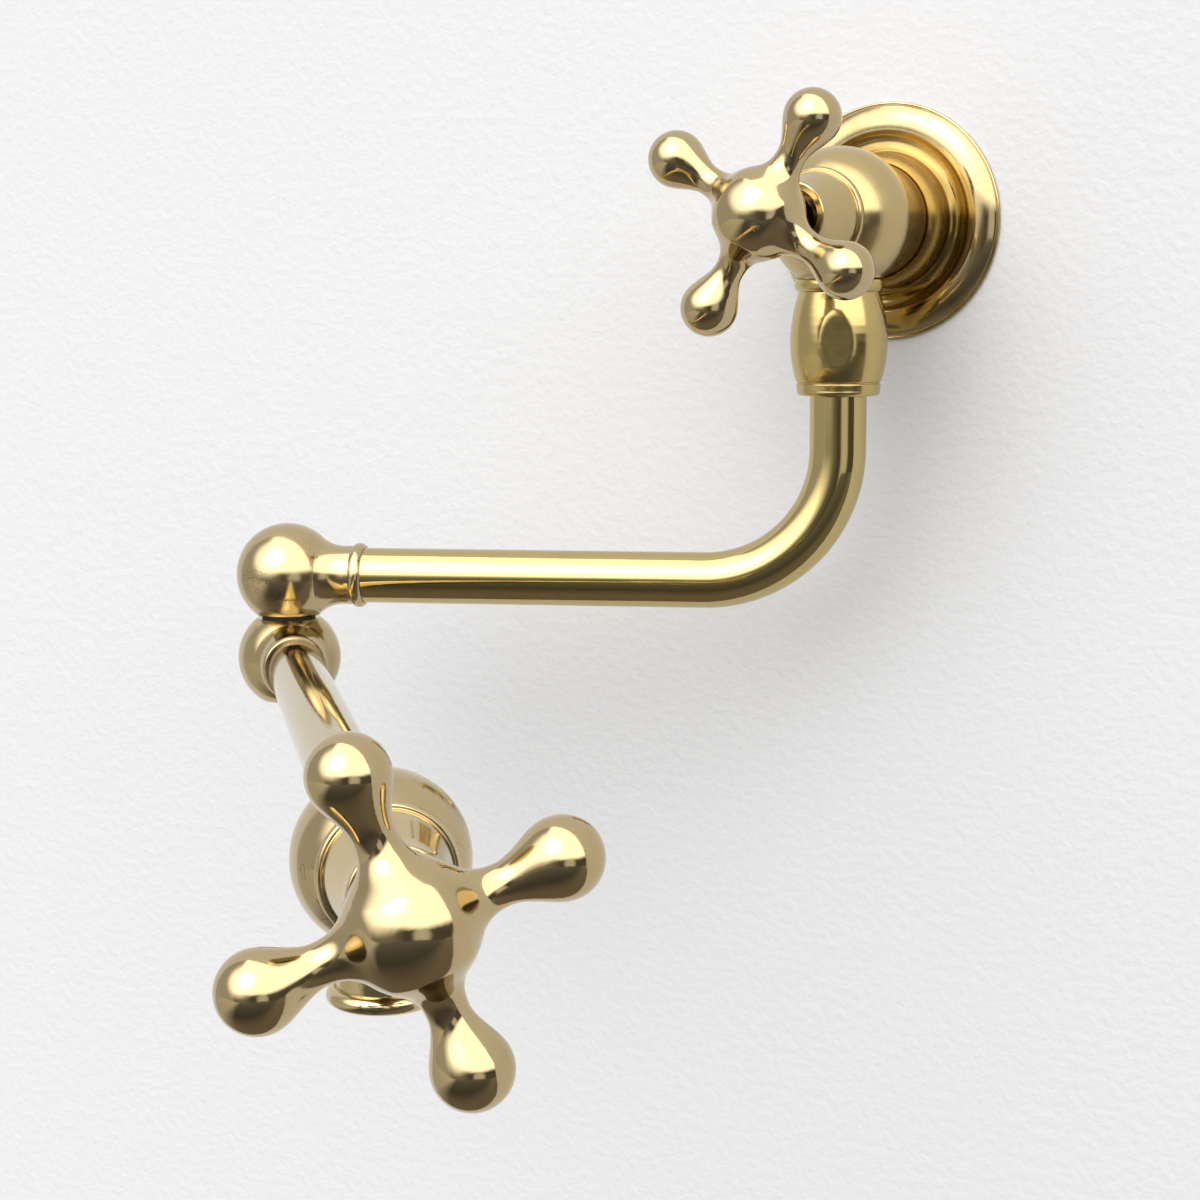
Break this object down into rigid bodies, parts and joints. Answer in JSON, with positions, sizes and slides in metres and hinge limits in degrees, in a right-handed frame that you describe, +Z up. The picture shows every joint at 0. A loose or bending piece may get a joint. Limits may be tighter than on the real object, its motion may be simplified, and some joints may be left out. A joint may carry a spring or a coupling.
{
  "type": "wall-mounted pot filler",
  "caption": "Brass wall-mounted pot filler: a ball-bodied wall valve with a cross handle, a bent swing arm, a ball elbow and a straight arm ending in a second cross-handled valve.",
  "frame": {"origin": "on the wall's face, on the axis of the wall valve and its inlet thread", "axes": "+Z up, +Y into the wall along the inlet, +X along the wall to the right seen from the room"},
  "size_m": [0.2389, 0.3688, 0.1947],
  "materials": {
    "brass_cast": "polished casting",
    "brass_drawn": "polished drawn tube",
    "brass_turned": "satin turned",
    "brass_spun": "polished, darkened",
    "rubber": "matte",
    "ceramic": "lapped ceramic",
    "white_plastic": "matte",
    "black_plastic": "matte",
    "steel": "plain"
  },
  "bodies": {
    "wall_valve": {"wall_valve_body": "brass_turned", "escutcheon": "brass_spun", "escutcheon_seal": "rubber", "flange_collar": "brass_turned", "inlet_nipple": "brass_turned", "swivel_nut": "brass_turned", "wall_bonnet": "brass_turned", "wall_head_housing": "brass_turned", "wall_head_gasket": "rubber", "wall_seat_seal": "rubber", "wall_fixed_disc": "ceramic"},
    "wall_handle": {"wall_cross_handle": "brass_cast", "wall_spindle": "brass_turned", "wall_moving_disc": "ceramic", "wall_stem_ring": "rubber", "wall_grub_screw": "steel"},
    "inner_arm": {"inner_arm_tube": "brass_drawn", "swivel_tailpiece": "brass_turned", "swivel_ring_upper": "rubber", "swivel_ring_lower": "rubber", "swivel_washer": "black_plastic", "upper_elbow": "brass_cast", "elbow_pivot": "brass_turned", "elbow_ring_upper": "rubber", "elbow_ring_lower": "rubber", "elbow_washer": "black_plastic", "elbow_thrust_washer": "black_plastic", "elbow_nut": "brass_turned"},
    "outer_arm": {"outer_arm_tube": "brass_drawn", "lower_elbow": "brass_cast", "elbow_cap": "brass_turned", "end_valve_body": "brass_cast", "outlet_nozzle": "brass_turned", "flow_straightener": "white_plastic", "end_bonnet": "brass_turned", "end_head_housing": "brass_turned", "end_head_gasket": "rubber", "end_seat_seal": "rubber", "end_fixed_disc": "ceramic"},
    "end_handle": {"end_cross_handle": "brass_cast", "end_spindle": "brass_turned", "end_moving_disc": "ceramic", "end_stem_ring": "rubber", "end_grub_screw": "steel"}
  },
  "joints": [
    {"name": "wall_handle_turn", "type": "hinge", "parent": "wall_valve", "child": "wall_handle", "pos_m": [0, -0.08, 0], "axis": [0, -1, 0], "range_deg": [0, 90]},
    {"name": "inner_arm_swing", "type": "hinge", "parent": "wall_valve", "child": "inner_arm", "pos_m": [0, -0.036, -0.04], "axis": [0, 0, 1], "range_deg": [-20, 159]},
    {"name": "outer_arm_swing", "type": "hinge", "parent": "inner_arm", "child": "outer_arm", "pos_m": [-0.15014, -0.09244, -0.11425], "axis": [0, 0, 1], "continuous": true},
    {"name": "end_handle_turn", "type": "hinge", "parent": "outer_arm", "child": "end_handle", "pos_m": [0.01454, -0.2887, -0.12655], "axis": [0.6428, -0.766, 0], "range_deg": [0, 90]}
  ]
}
